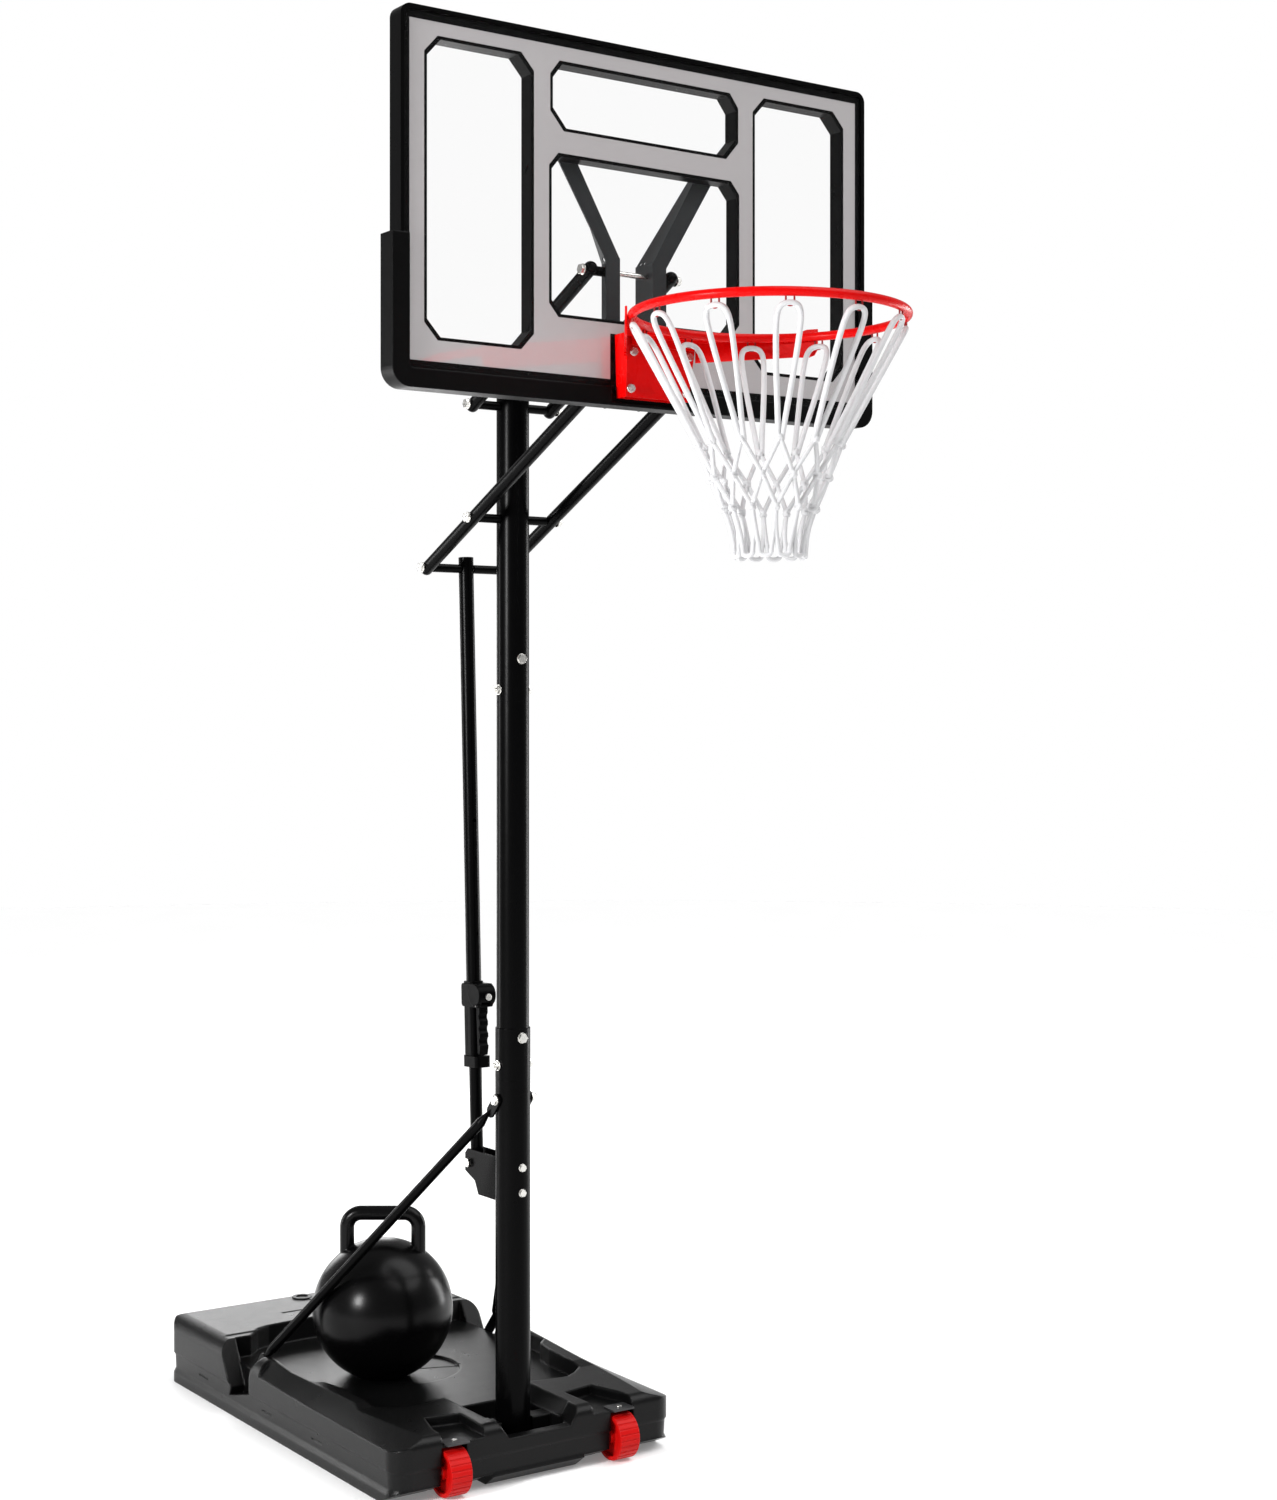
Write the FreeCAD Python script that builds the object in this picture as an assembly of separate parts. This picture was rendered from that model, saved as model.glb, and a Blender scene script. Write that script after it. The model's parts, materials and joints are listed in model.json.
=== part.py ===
import FreeCAD, Part
import math
import os

from FreeCAD import Vector

# A portable basketball hoop. Millimetres, +Z up.
# The origin is on the floor under the pole's axis, the board faces -Y and +X is the right-hand side
# for someone facing the board.

# Base tank
TANK_HALF_WIDTH = 325.0
TANK_FRONT = -104.0
TANK_REAR = 968.0
TANK_CORNER = 40.0
SEAM_Z = 64.0
SEAM_GAP = 2.0
TANK_TOP_Z = 148.0
DISH_FLOOR_Z = 100.0
POCKET_HALF_WIDTH = 79.0
POCKET_FLOOR_Z = 60.0
WALL = 5.0
WATER_LEVEL_Z = 80.0
# Inset and height of each level of the lower shell, from its foot to the seam
LOWER_SHELL = ((0.0, 0.0), (0.0, 20.0), (5.0, 31.0), (3.0, SEAM_Z))
# Outline of the tank's top seen from the side (y, z): round front, rising side walls, rear block
TANK_SIDE_PROFILE = ((-104.0, 60.0), (-104.0, 104.0), (-98.0, 120.0), (-82.0, 126.5), (128.0, 127.5),
                     (160.0, 134.0), (410.0, 139.0), (490.0, 146.0), (716.0, 146.0), (722.0, 148.0),
                     (942.0, 148.0), (961.0, 140.0), (968.0, 120.0), (968.0, 60.0))
# Rounded rims: limits of the distance from the centre plane, limits of y, lowest z, radius
TANK_FILLETS = ((284.9, 285.1, 331.0, 518.0, 125.0, 3.0), (132.0, 222.0, -80.0, 14.0, 120.0, 4.0),
                (150.0, 261.0, 90.0, 310.0, 120.0, 3.0), (179.0, 250.0, 697.0, 746.0, 140.0, 4.0))
# Round shoulder of the side walls seen from the front (x, z)
TANK_SHOULDER = ((325.0, 60.0), (325.0, 108.0), (317.0, 134.0), (292.0, 148.0))
RECESS_CENTRE = (-14.0, 418.0)
RECESS_RADIUS = 117.0
RECESS_FLOOR_Z = 95.0
FILLER = (0.0, 815.0)
FILLER_NECK_RADIUS = 19.5
FILLER_RECESS_RADIUS = 46.0
FILLER_RECESS_Z = 124.0
TETHER_RING = (-10.0, 923.0)
SLOT_WALL_X = 287.8
# Where the struts are screwed to the tank (y, z)
STRUT_FOOT = (590.0, 85.0)

# Transport wheels
WHEEL_RADIUS = 47.5
WHEEL_WIDTH = 46.5
WHEEL_X = 196.0
WHEEL_Y = -88.0
WHEEL_Z = 49.0
WHEEL_RIBS = 26
AXLE_RADIUS = 5.0

# Pole
POLE_OUTER = 32.8
POLE_WALL = 1.8
BELL_OUTER = 35.3
SPIGOT_GAP = 0.1
POLE_FOOT_Z = 62.0
LOWER_TOP_Z = 780.0
BELL_TOP_Z = 883.0
MIDDLE_TOP_Z = 1540.0
SPIGOT_TOP_Z = 1640.0
POLE_TOP_Z = 2238.0
BOLT_RADIUS = 5.0
HOLE_GAP = 0.1
RUNNING_GAP = 0.08

# Four-bar lift arms
ARM_X = 91.0
ARM_RADIUS = 13.0
ARM_WALL = 1.6
LOWER_PIVOT_Z = 1906.0
PIVOT_RISE = 226.0
FRONT_PIVOT_Y = -415.0
FRONT_PIVOT_Z = 2108.0
CROSSBAR_Y = 185.0
SPACER_RADIUS = 9.0
SPACER_BORE = 5.2
SPACER_END_X = 77.6

# Telescopic lift rod
ROD_FOOT = (0.0, 140.0, 590.0)
OUTER_TUBE_RADIUS = 15.5
OUTER_TUBE_BORE = 14.0
INNER_TUBE_RADIUS = 13.0
INNER_TUBE_BORE = 11.4
OUTER_TUBE_START = 196.0
OUTER_TUBE_OVERRUN = 24.0
INNER_TUBE_TOP = 640.0
ADJUSTER_HOLES = (470.0, 548.0, 626.0, 704.0)

# Backboard
BOARD_FRONT_Y = -474.9
BOARD_BACK_Y = -437.9
SHEET_THICKNESS = 3.0
PRINT_THICKNESS = 0.6
BOARD_HALF_WIDTH = 520.0
BOARD_TOP_Z = 2740.0
BOARD_BOTTOM_Z = 2096.0
BOARD_CORNER = 20.0
TRIM_WALL = 4.5
TRIM_LIP = 8.0
PANEL_HALF_WIDTH = 500.0
PANEL_BOTTOM_Z = 2126.7
PANEL_TOP_Z = 2717.3
PRINT_MARGIN = 6.0
PAD_HALF_WIDTH = 538.0
PAD_BOTTOM_Z = 2078.0
PAD_TOP_Z = 2344.0
PAD_CORNER = 35.0

# Rim
RING_CENTRE = Vector(0.0, -839.4, 2198.0)
RING_RADIUS = 236.6
RING_TUBE = 8.0
BRACKET_FRONT_Y = -521.0
BRACKET_TOP_Z = 2208.0
BRACKET_BOTTOM_Z = 2092.0
HOOK_COUNT = 12
HOOK_DROP = 17.0

# Net outline: radius and height of each station, from the ring down
NET_PROFILE = ((232.0, 2172.0), (166.0, 2054.0), (121.0, 1968.0), (99.0, 1916.0),
               (82.0, 1882.0), (68.0, 1848.0), (63.0, 1779.0))
NET_THICKNESS = 2.5

# Ball weight
BALL_CENTRE = Vector(-69.2, 419.3, 237.7)
BALL_RADIUS = 150.0
BALL_WALL = 4.0
HANDLE_DIRECTION = Vector(0.8214, -0.5703, 0.0)
HANDLE_HALF_WIDTH = 76.5
HANDLE_FOOT_Z = 335.0
HANDLE_TOP_Z = 442.8
HANDLE_RADIUS = 15.5
HANDLE_CORNER = 30.0
BALL_CAP_DIRECTION = Vector(0.4036, 0.5806, 0.7071)
BALL_CAP_SEAT = 138.0
BALL_CAP_RECESS = 40.0
BALL_CAP_RADIUS = 33.0
BALL_CAP_LOBES = 6
BALL_MOUTH = 22.0

X_AXIS = Vector(1, 0, 0)
Z_AXIS = Vector(0, 0, 1)
MIRROR_ORIGIN = Vector(0, 0, 0)


def export(name, solids):
    """Write one node: a single solid, or a group of separate solids."""
    shape = solids[0] if len(solids) == 1 else Part.makeCompound(solids)
    shape.exportStep("parts/" + name + ".step")


def mirrored(shape):
    """The same shape on the other side of the object's centre plane."""
    return shape.mirror(MIRROR_ORIGIN, X_AXIS)


def rod(start, end, radius):
    """Cylinder between two points."""
    start = Vector(*start)
    span = Vector(*end) - start
    return Part.makeCylinder(radius, span.Length, start, span)


def box(x0, x1, y0, y1, z0, z1):
    """Box between two limits on each axis."""
    return Part.makeBox(x1 - x0, y1 - y0, z1 - z0, Vector(x0, y0, z0))


def rounded_box(x0, x1, y0, y1, z0, z1, radius, axis="Z"):
    """Box whose four edges along one axis are rounded."""
    block = box(x0, x1, y0, y1, z0, z1)
    edges = []
    for edge in block.Edges:
        along = edge.Vertexes[1].Point - edge.Vertexes[0].Point
        if abs(getattr(along, axis.lower())) > 0.01:
            edges.append(edge)
    return block.makeFillet(radius, edges)


def prism(points, sweep):
    """Solid swept along a vector from a closed polygon."""
    corners = [Vector(*point) for point in points]
    wire = Part.makePolygon(corners + corners[:1])
    return Part.Face(wire).extrude(Vector(*sweep))


def fuse(solids):
    """One solid from several that touch or overlap."""
    return solids[0].multiFuse(solids[1:]).removeSplitter()


def cut(solid, tools):
    """A solid with every tool removed from it."""
    return solid.cut(Part.makeCompound(tools))


def hexagon(seat, axis, across_flats, height):
    """Hexagonal head or nut standing on its seat and growing along an axis."""
    side = axis.cross(Z_AXIS if abs(axis.z) < 0.9 else X_AXIS)
    side.normalize()
    up = axis.cross(side)
    corners = []
    for index in range(6):
        angle = math.radians(60 * index)
        reach = across_flats / math.sqrt(3)
        corners.append(seat + side * (reach * math.cos(angle)) + up * (reach * math.sin(angle)))
    return Part.Face(Part.makePolygon(corners + corners[:1])).extrude(axis * height)


def bolt(head_seat, nut_seat, radius, head_across, tail=4.0, dome=False):
    """Bolt with a hexagonal head at one seat and a washer and nut at the other."""
    head_seat = Vector(*head_seat)
    nut_seat = Vector(*nut_seat)
    axis = nut_seat - head_seat
    axis.normalize()
    head_height = 1.1 * radius
    nut_height = 1.4 * radius
    washer = 1.5
    pieces = [hexagon(head_seat - axis * washer, axis * -1, head_across, head_height)]
    pieces.append(Part.makeCylinder(0.62 * head_across, washer, head_seat - axis * washer, axis))
    pieces.append(Part.makeCylinder(0.62 * head_across, washer, nut_seat, axis))
    pieces.append(hexagon(nut_seat + axis * washer, axis, head_across, nut_height))
    shank_start = head_seat - axis * washer
    shank_end = nut_seat + axis * (washer + nut_height + (0 if dome else tail))
    pieces.append(Part.makeCylinder(radius, (shank_end - shank_start).Length, shank_start, axis))
    if dome:
        ball = Part.makeSphere(0.5 * head_across, shank_end)
        pieces.append(ball.cut(Part.makeCylinder(head_across, 30, shank_end - axis * 30, axis)))
    return fuse(pieces)


def screw(seat, tip, radius, head_across):
    """Screw with a hexagonal washer head on its seat."""
    seat = Vector(*seat)
    axis = Vector(*tip) - seat
    length = axis.Length
    axis.normalize()
    flange = Part.makeCylinder(0.62 * head_across, 1.5, seat, axis * -1)
    head = hexagon(seat - axis * 1.5, axis * -1, head_across, 1.0 * radius)
    return fuse([flange, head, Part.makeCylinder(radius, length, seat, axis)])


def stadium(x0, x1, start, end, half_width):
    """Flat bar with round ends, in the YZ plane, between two (y, z) points."""
    first = Part.makeCylinder(half_width, x1 - x0, Vector(x0, start[0], start[1]), X_AXIS)
    last = Part.makeCylinder(half_width, x1 - x0, Vector(x0, end[0], end[1]), X_AXIS)
    dy = end[0] - start[0]
    dz = end[1] - start[1]
    length = math.hypot(dy, dz)
    ny = -dz / length * half_width
    nz = dy / length * half_width
    web = prism([(x0, start[0] + ny, start[1] + nz), (x0, end[0] + ny, end[1] + nz),
                 (x0, end[0] - ny, end[1] - nz), (x0, start[0] - ny, start[1] - nz)],
                (x1 - x0, 0, 0))
    return fuse([first, last, web])


# ---------------------------------------------------------------- base tank

def rounded_rectangle(inset, z):
    """Closed outline of the tank, moved inwards by the inset, at one height."""
    radius = TANK_CORNER - inset
    x = TANK_HALF_WIDTH - TANK_CORNER
    y_front = TANK_FRONT + TANK_CORNER
    y_rear = TANK_REAR - TANK_CORNER
    centres = ((x, y_front, -90), (x, y_rear, 0), (-x, y_rear, 90), (-x, y_front, 180))
    arcs = [Part.makeCircle(radius, Vector(cx, cy, z), Z_AXIS, start, start + 90)
            for cx, cy, start in centres]
    edges = []
    for index, arc in enumerate(arcs):
        following = arcs[(index + 1) % 4]
        edges.append(arc)
        edges.append(Part.makeLine(arc.Vertexes[-1].Point, following.Vertexes[0].Point))
    return Part.Wire(edges)


def tank_layer(inset, z0, z1):
    """Straight-sided slice of the tank's outline."""
    return Part.Face(rounded_rectangle(inset, z0)).extrude(Vector(0, 0, z1 - z0))


def strut_slots():
    """Notches in the side walls that take the strut feet, open to the side and to the dish."""
    profile = ((543, 65), (651, 37), (640, 56), (697, 150), (517, 150), (536, 118), (543, 100))
    notch = prism([(SLOT_WALL_X, y, z) for y, z in profile], (60, 0, 0))
    opening = ((543, DISH_FLOOR_Z), (667, DISH_FLOOR_Z), (697, 150), (517, 150))
    mouth = prism([(270, y, z) for y, z in opening], (SLOT_WALL_X - 270, 0, 0))
    right = fuse([notch, mouth])
    return [right, mirrored(right)]


def wheel_wells():
    """Room for each wheel, and the shallow notch above it."""
    well = box(168, 224, TANK_FRONT - 10, -34, -1, 101)
    plan = ((224, TANK_FRONT - 30), (128, TANK_FRONT - 30), (123, -2), (195, 12), (220, -70))
    notch = prism([(x, y, 106) for x, y in plan], (0, 0, 54))
    right = Part.makeCompound([well, notch])
    return [right, mirrored(right)]


def front_chamfers():
    """Raised underside along the front, lower in the middle where the skirt reaches down."""
    side = ((-130, -1), (-34, -1), (-104, 30), (-130, 41))
    middle = ((-130, -1), (-67, -1), (-104, 25), (-130, 43))
    right = prism([(106, y, z) for y, z in side], (240, 0, 0))
    centre = prism([(-106, y, z) for y, z in middle], (212, 0, 0))
    return [right, mirrored(right), centre]


def shoulder_wedges():
    """Sloping band along the top of each side wall, wide at the front and narrow by the slot."""
    wires = []
    for y, x_in, z_in, z_out in ((-110, 250, 127, 105), (495, 296, 146, 112)):
        slope = (z_in - z_out) / (TANK_HALF_WIDTH - x_in)
        x_far = TANK_HALF_WIDTH + 10
        outline = [Vector(x_in, y, z_in), Vector(x_far, y, z_out - 10 * slope),
                   Vector(x_far, y, 175), Vector(x_in, y, 175)]
        wires.append(Part.makePolygon(outline + outline[:1]))
    right = Part.makeLoft(wires, True, True)
    return [right, mirrored(right)]


def side_marks():
    """Short moulded grooves low on the side walls."""
    marks = []
    for y in (210, 440, 760):
        groove = rounded_box(318, 330, y, y + 46, 44, 47, 1.2, "X")
        marks += [groove, mirrored(groove)]
    return marks


def edges_near(shape, x0, x1, y0, y1, z0):
    """Edges above z0 whose y lies in a range and whose distance from the centre plane does too."""
    chosen = []
    for edge in shape.Edges:
        limits = edge.BoundBox
        crosses = limits.XMin * limits.XMax < 0
        near = 0 if crosses else min(abs(limits.XMin), abs(limits.XMax))
        far = max(abs(limits.XMin), abs(limits.XMax))
        inside = near >= x0 and far <= x1 and limits.YMin >= y0 and limits.YMax <= y1
        if edge.Length > 6 and limits.ZMin > z0 and inside:
            chosen.append(edge)
    return chosen


def soften(body):
    """Round the rims of the dish, the pocket and the wheel notches."""
    for x0, x1, y0, y1, z0, radius in TANK_FILLETS:
        body = body.makeFillet(radius, edges_near(body, x0, x1, y0, y1, z0))
    return body


def tank_cavity():
    """The connected hollow that holds the ballast water."""
    main = rounded_box(-304, 304, 125, 950, WALL, 89, 20)
    front = rounded_box(88, 302, -24, 130, WALL, 93, 12)
    corner = rounded_box(232, 304, -82, -10, 34, 95, 12)
    rear = rounded_box(-288, 288, 766, 950, 80, 118, 20)
    hollow = fuse([main, front, mirrored(front), corner, mirrored(corner), rear])
    keep_clear = box(260, 330, 515, 740, 0, 150)
    return cut(hollow, [keep_clear, mirrored(keep_clear)])


def dish():
    """Shallow tray in the middle of the tank's top."""
    half = ((285, 332), (260, 308), (250, 255), (246, 134), (217, 108), (190, 92), (155, 93), (99, 105))
    rear = ((285, 698), (246, 698), (214, 732), (180, 745), (100, 752))
    outline = list(rear[::-1]) + list(half)
    outline += [(-x, y) for x, y in reversed(half)] + [(-x, y) for x, y in rear]
    return prism([(x, y, DISH_FLOOR_Z) for x, y in outline], (0, 0, 60))


def base_tank():
    """Blow-moulded ballast tank with a pole pocket, a dish, slots and wheel wells."""
    lower = Part.makeLoft([rounded_rectangle(inset, z) for inset, z in LOWER_SHELL], True, True)
    seam = tank_layer(1.5, SEAM_Z, SEAM_Z + SEAM_GAP)
    upper = tank_layer(0, SEAM_Z + SEAM_GAP, TANK_TOP_Z + 2)
    side = [Vector(-340, y, z) for y, z in TANK_SIDE_PROFILE]
    side_edges = [Part.makeLine(side[0], side[1]), Part.Arc(side[1], side[2], side[3]).toShape()]
    side_edges += [Part.makeLine(a, b) for a, b in zip(side[3:-4], side[4:-3])]
    side_edges += [Part.Arc(side[-4], side[-3], side[-2]).toShape(), Part.makeLine(side[-2], side[-1]),
                   Part.makeLine(side[-1], side[0])]
    side_shape = Part.Face(Part.Wire(side_edges)).extrude(Vector(680, 0, 0))
    right = [Vector(x, -120, z) for x, z in TANK_SHOULDER]
    left = [Vector(-x, -120, z) for x, z in TANK_SHOULDER]
    across = [Part.makeLine(right[0], right[1]), Part.Arc(right[1], right[2], right[3]).toShape(),
              Part.makeLine(right[3], left[3]), Part.Arc(left[3], left[2], left[1]).toShape(),
              Part.makeLine(left[1], left[0]), Part.makeLine(left[0], right[0])]
    section_shape = Part.Face(Part.Wire(across)).extrude(Vector(0, 1120, 0))
    upper = upper.common(side_shape).common(section_shape)
    body = fuse([lower, seam, upper])
    cx, cy = RECESS_CENTRE
    fx, fy = FILLER
    tools = [dish(), tank_cavity()]
    tools.append(Part.makeCylinder(RECESS_RADIUS, 20, Vector(cx, cy, RECESS_FLOOR_Z)))
    tools.append(rounded_box(-POCKET_HALF_WIDTH, POCKET_HALF_WIDTH, -80, 112, POCKET_FLOOR_Z, 160, 20))
    slope = ((-79, 98), (79, 98), (99, 128), (99, 160), (-99, 160), (-99, 128))
    tools.append(prism([(x, -58, z) for x, z in slope], (0, 164, 0)))
    tools.append(prism([(-72, -112, 93), (72, -112, 93), (96, -112, 130), (-96, -112, 130)],
                       (0, 60, 0)))
    tools += front_chamfers()
    tools.append(Part.makeCylinder(FILLER_RECESS_RADIUS, 40, Vector(fx, fy, FILLER_RECESS_Z)))
    tools.append(box(-30, 30, 740, fy, FILLER_RECESS_Z, 160))
    tools.append(Part.makeCylinder(FILLER_NECK_RADIUS, 30, Vector(fx, fy, 110)))
    tools += strut_slots() + wheel_wells() + shoulder_wedges() + side_marks()
    for side_x in (-1, 1):
        tools.append(rod((side_x * 158, WHEEL_Y, WHEEL_Z), (side_x * 234, WHEEL_Y, WHEEL_Z), AXLE_RADIUS))
        tools.append(rod((side_x * 193, -97, 90), (side_x * 193, -97, 112), 2.5))
        near, far = sorted((side_x * 60, side_x * 112))
        tools.append(rounded_box(near, far, fy + 2, fy + 8, TANK_TOP_Z - 5, 160, 2.5))
    start = Vector(16, 412, RECESS_FLOOR_Z)
    groove = Part.makeBox(92, 3, 10, Vector(0, 0, -2))
    groove.rotate(Vector(0, 0, 0), Z_AXIS, -20.4)
    groove.translate(start)
    tools.append(groove)
    body = soften(cut(body, tools))
    fittings = []
    for side_x in (-1, 1):
        cheek = box(min(side_x * 36, side_x * 81), max(side_x * 36, side_x * 81), -18, 18, 55, 96)
        fittings.append(cheek)
    body = fuse([body] + fittings)
    holes = [rod((-79, 0, 80), (79, 0, 80), 6)]
    for side_x in (-1, 1):
        foot = (side_x * (SLOT_WALL_X + 4), STRUT_FOOT[0], STRUT_FOOT[1])
        holes.append(rod((side_x * (SLOT_WALL_X - 24), STRUT_FOOT[0], STRUT_FOOT[1]), foot, 4))
    return cut(body, holes)


def water_fill():
    """Ballast water in the lower part of the hollow."""
    return tank_cavity().common(box(-400, 400, -200, 1000, 0, WATER_LEVEL_Z))


def filler_cap():
    """Screw plug with a gripping bar across its top."""
    x, y = FILLER
    z = FILLER_RECESS_Z + 3
    disk = Part.makeCylinder(29, 8, Vector(x, y, z))
    plug = Part.makeCylinder(19, 14, Vector(x, y, z - 13))
    bar = rounded_box(x - 38, x + 38, y - 5, y + 5, z + 7, z + 20, 4)
    lobes = [Part.makeCylinder(9, 8, Vector(x + 25 * math.cos(a), y + 25 * math.sin(a), z))
             for a in [math.radians(30 + 60 * index) for index in range(6)]]
    return fuse([disk, plug, bar] + lobes)


def cap_tether():
    """Strap from a ring round the filler neck, out of its recess, to a ring on the tank's top."""
    x, y = FILLER
    low = FILLER_RECESS_Z
    top = TANK_TOP_Z
    wall_y = y + FILLER_RECESS_RADIUS
    collar = Part.makeCylinder(28, 2, Vector(x, y, low)).cut(Part.makeCylinder(21, 2, Vector(x, y, low)))
    rx, ry = TETHER_RING
    ring = Part.makeCylinder(23, 3, Vector(rx, ry, top)).cut(Part.makeCylinder(14, 3, Vector(rx, ry, top)))
    pieces = [collar, ring, box(x - 4, x + 4, y + 26, wall_y - 0.4, low, low + 2),
              box(x - 4, x + 4, wall_y - 2.4, wall_y - 0.4, low, top + 2),
              box(x - 4, x + 4, wall_y - 2.4, ry - 18, top, top + 2)]
    return fuse(pieces)


# ---------------------------------------------------------------- wheels

def wheel(side):
    """Ribbed wheel with a dished disc and a hub."""
    x = side * WHEEL_X
    half = 0.5 * WHEEL_WIDTH
    tyre = rod((x - half, WHEEL_Y, WHEEL_Z), (x + half, WHEEL_Y, WHEEL_Z), WHEEL_RADIUS)
    rims = [edge for edge in tyre.Edges if len(edge.Vertexes) == 1]
    tyre = tyre.makeFillet(2.5, rims)
    tools = [rod((x - half - 1, WHEEL_Y, WHEEL_Z), (x + half + 1, WHEEL_Y, WHEEL_Z),
                 AXLE_RADIUS + RUNNING_GAP)]
    for end in (-1, 1):
        inner = (x + end * (half - 9), WHEEL_Y, WHEEL_Z)
        outer = (x + end * (half + 1), WHEEL_Y, WHEEL_Z)
        dish_ring = rod(inner, outer, 39)
        hub = rod(inner, outer, 13)
        tools.append(dish_ring.cut(hub))
    for index in range(WHEEL_RIBS):
        angle = 2 * math.pi * index / WHEEL_RIBS
        y = WHEEL_Y + (WHEEL_RADIUS + 0.6) * math.cos(angle)
        z = WHEEL_Z + (WHEEL_RADIUS + 0.6) * math.sin(angle)
        tools.append(rod((x - half - 1, y, z), (x + half + 1, y, z), 2.0))
    return cut(tyre, tools)


def wheel_axles():
    """Steel pin through each wheel, held in the walls of its well."""
    right = rod((160, WHEEL_Y, WHEEL_Z), (232, WHEEL_Y, WHEEL_Z), AXLE_RADIUS)
    return [right, mirrored(right)]


def axle_plates():
    """Small plate over each wheel."""
    plate = rounded_box(168, 218, -118, -76, 106, 109, 4)
    right = cut(plate, [rod((193, -97, 100), (193, -97, 112), 2.5)])
    return [right, mirrored(right)]


def axle_screws():
    """Screw that holds each plate."""
    right = fuse([rod((193, -97, 101.5), (193, -97, 109), 2.5), rod((193, -97, 109), (193, -97, 111.5), 5.5)])
    return [right, mirrored(right)]


# ---------------------------------------------------------------- pole

def tube(z0, z1, outer, inner):
    """Upright tube on the pole's axis."""
    return Part.makeCylinder(outer, z1 - z0, Vector(0, 0, z0)).cut(
        Part.makeCylinder(inner, z1 - z0, Vector(0, 0, z0)))


def cross_hole(axis, z, radius=BOLT_RADIUS + HOLE_GAP):
    """Drill through the pole along X or Y."""
    reach = 60
    if axis == "X":
        return rod((-reach, 0, z), (reach, 0, z), radius)
    return rod((0, -reach, z), (0, reach, z), radius)


def pole_lower():
    """Lower pole section with a reduced spigot at its top."""
    spigot_outer = BELL_OUTER - POLE_WALL - SPIGOT_GAP
    body = fuse([tube(POLE_FOOT_Z, LOWER_TOP_Z, BELL_OUTER, BELL_OUTER - POLE_WALL - 2),
                 tube(LOWER_TOP_Z, BELL_TOP_Z - 5, spigot_outer, BELL_OUTER - POLE_WALL - 2)])
    drills = [cross_hole("X", 80, 6.0 + HOLE_GAP), cross_hole("Y", 554.5, 4.1), cross_hole("Y", 605, 4.1),
              cross_hole("X", 739), cross_hole("X", 809), cross_hole("Y", 865)]
    return cut(body, drills)


def pole_middle():
    """Middle pole section, belled at its foot and reduced at its top."""
    spigot_outer = POLE_OUTER - POLE_WALL - SPIGOT_GAP
    neck_bore = spigot_outer - POLE_WALL
    body = fuse([tube(LOWER_TOP_Z, BELL_TOP_Z, BELL_OUTER, BELL_OUTER - POLE_WALL),
                 tube(BELL_TOP_Z - 4, BELL_TOP_Z, BELL_OUTER, neck_bore),
                 tube(BELL_TOP_Z, MIDDLE_TOP_Z, POLE_OUTER, neck_bore),
                 tube(MIDDLE_TOP_Z, SPIGOT_TOP_Z, spigot_outer, neck_bore)])
    drills = [cross_hole("X", 809), cross_hole("Y", 865), cross_hole("X", 1563), cross_hole("Y", 1625)]
    return cut(body, drills)


def pole_upper():
    """Upper pole section that carries the lift arms."""
    body = tube(MIDDLE_TOP_Z, POLE_TOP_Z, POLE_OUTER, POLE_OUTER - POLE_WALL)
    drills = [cross_hole("X", 1563), cross_hole("Y", 1625), cross_hole("X", LOWER_PIVOT_Z),
              cross_hole("X", LOWER_PIVOT_Z + PIVOT_RISE)]
    return cut(body, drills)


def pole_cap():
    """Plastic cap on the top of the pole."""
    lid = Part.makeCylinder(34.5, 7, Vector(0, 0, POLE_TOP_Z))
    lid = lid.makeFillet(3, [lid.Edges[0]])
    plug = Part.makeCylinder(POLE_OUTER - POLE_WALL - 0.3, 18, Vector(0, 0, POLE_TOP_Z - 18))
    return fuse([lid, plug])


def pole_bolts():
    """Bolts that lock the pole sections together."""
    bolts = []
    for z, outer in ((809, BELL_OUTER), (1563, POLE_OUTER)):
        bolts.append(bolt((outer, 0, z), (-outer, 0, z), BOLT_RADIUS, 17))
    for z, outer in ((865, BELL_OUTER), (1625, POLE_OUTER)):
        bolts.append(bolt((0, -outer, z), (0, outer, z), BOLT_RADIUS, 17))
    return bolts


def strut(side):
    """Round brace with flattened ends, from the pole down to the tank's side."""
    along = Vector(0, 0.660, -0.751)
    top = Vector(38.0, 0, 739)
    top_end = top + along * 34
    plate_x = SLOT_WALL_X + 0.1
    foot = Vector(plate_x + 2.1, *STRUT_FOOT)
    foot_end = foot - along * 66
    axis = foot_end - top_end
    axis.normalize()
    tube_start = top_end + axis * 34
    tube_end = foot_end - axis * 34
    pieces = [stadium(35.9, 40.1, (top.y, top.z), (top_end.y, top_end.z), 12.5),
              stadium(plate_x, plate_x + 4.2, (foot_end.y, foot_end.z), (foot.y, foot.z), 12.5)]
    bar = Part.makeCylinder(10.25, (tube_end - tube_start).Length, tube_start, axis)
    pieces.append(bar)
    for round_end, flat_end in ((tube_start, top_end), (tube_end, foot_end)):
        circle = Part.Wire([Part.makeCircle(10.25, round_end, axis)])
        flat = Part.Ellipse(flat_end + along * 12.5, flat_end + X_AXIS * 2.1, flat_end)
        pieces.append(Part.makeLoft([circle, Part.Wire([flat.toShape()])], True, False))
    body = fuse(pieces)
    bore = Part.makeCylinder(8.75, (tube_end - tube_start).Length - 4, tube_start + axis * 2, axis)
    drill_top = rod((30, 0, 739), (45, 0, 739), BOLT_RADIUS + HOLE_GAP)
    drill_foot = rod((plate_x - 4, foot.y, foot.z), (plate_x + 8, foot.y, foot.z), 4.1)
    drain = tube_end - axis * 12
    weep = rod((drain.x, drain.y, drain.z - 14), (drain.x, drain.y, drain.z), 2.0)
    body = cut(body, [bore, drill_top, drill_foot, weep])
    return body if side > 0 else mirrored(body)


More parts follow.
